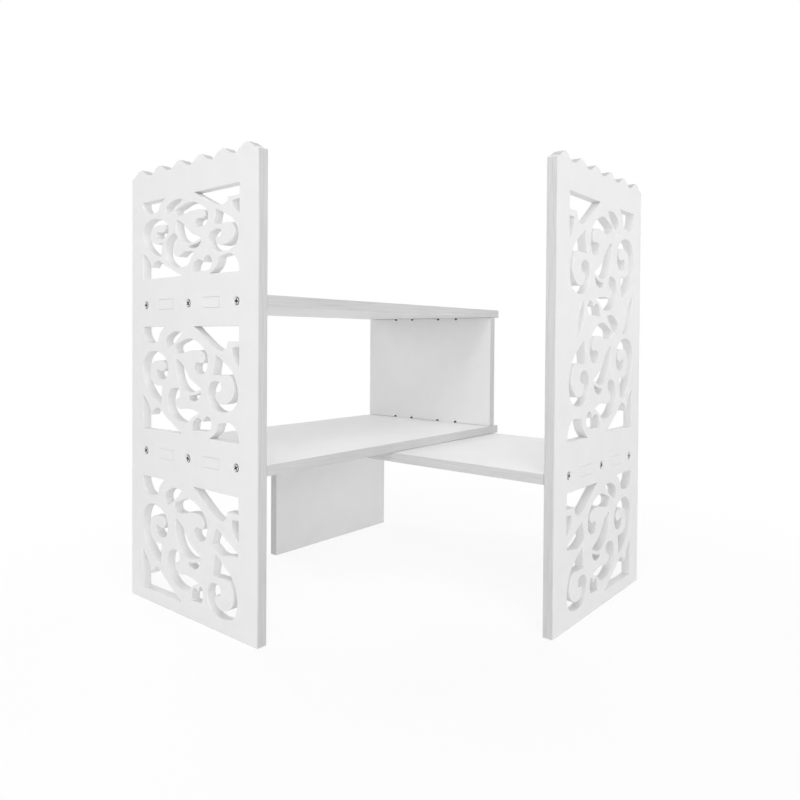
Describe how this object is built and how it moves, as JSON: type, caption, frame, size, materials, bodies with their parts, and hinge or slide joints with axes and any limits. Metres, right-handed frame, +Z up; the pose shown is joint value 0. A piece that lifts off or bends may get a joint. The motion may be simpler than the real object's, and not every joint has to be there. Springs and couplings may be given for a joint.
{
  "type": "desktop organizer shelf",
  "caption": "White desktop organizer shelf of crossed board units: scroll-pierced side panels with wavy tops, open bays, and an upper unit that swivels on the lower shelf.",
  "frame": {"origin": "middle of the part's box, on the desk it stands on", "axes": "+X along the upper unit's shelves to their free end, +Y along the lower unit's shelf to its leg, +Z up"},
  "size_m": [0.3254, 0.3254, 0.3643],
  "materials": {
    "white_board": "smooth satin white foamed board with a faint fine grain",
    "zinc_steel": "zinc-plated countersunk screw"
  },
  "bodies": {
    "lower_unit": {"right_side_panel": "white_board", "lower_shelf": "white_board", "leg_panel": "white_board", "lower_shelf_screw_front": "zinc_steel", "lower_shelf_screw_middle": "zinc_steel", "lower_shelf_screw_rear": "zinc_steel", "leg_screw_front": "zinc_steel", "leg_screw_middle": "zinc_steel", "leg_screw_rear": "zinc_steel"},
    "upper_unit": {"left_side_panel": "white_board", "top_shelf": "white_board", "middle_shelf": "white_board", "divider_panel": "white_board", "top_shelf_screw_front": "zinc_steel", "top_shelf_screw_middle": "zinc_steel", "top_shelf_screw_rear": "zinc_steel", "middle_shelf_screw_front": "zinc_steel", "middle_shelf_screw_middle": "zinc_steel", "middle_shelf_screw_rear": "zinc_steel", "divider_top_screw_front": "zinc_steel", "divider_top_screw_middle": "zinc_steel", "divider_top_screw_rear": "zinc_steel", "divider_bottom_screw_front": "zinc_steel", "divider_bottom_screw_middle": "zinc_steel", "divider_bottom_screw_rear": "zinc_steel"}
  },
  "joints": [
    {"name": "swivel", "type": "hinge", "parent": "lower_unit", "child": "upper_unit", "pos_m": [0.07165, 0.07685, 0.1228], "axis": [0, 0, 1], "range_deg": [-225, 45]}
  ]
}
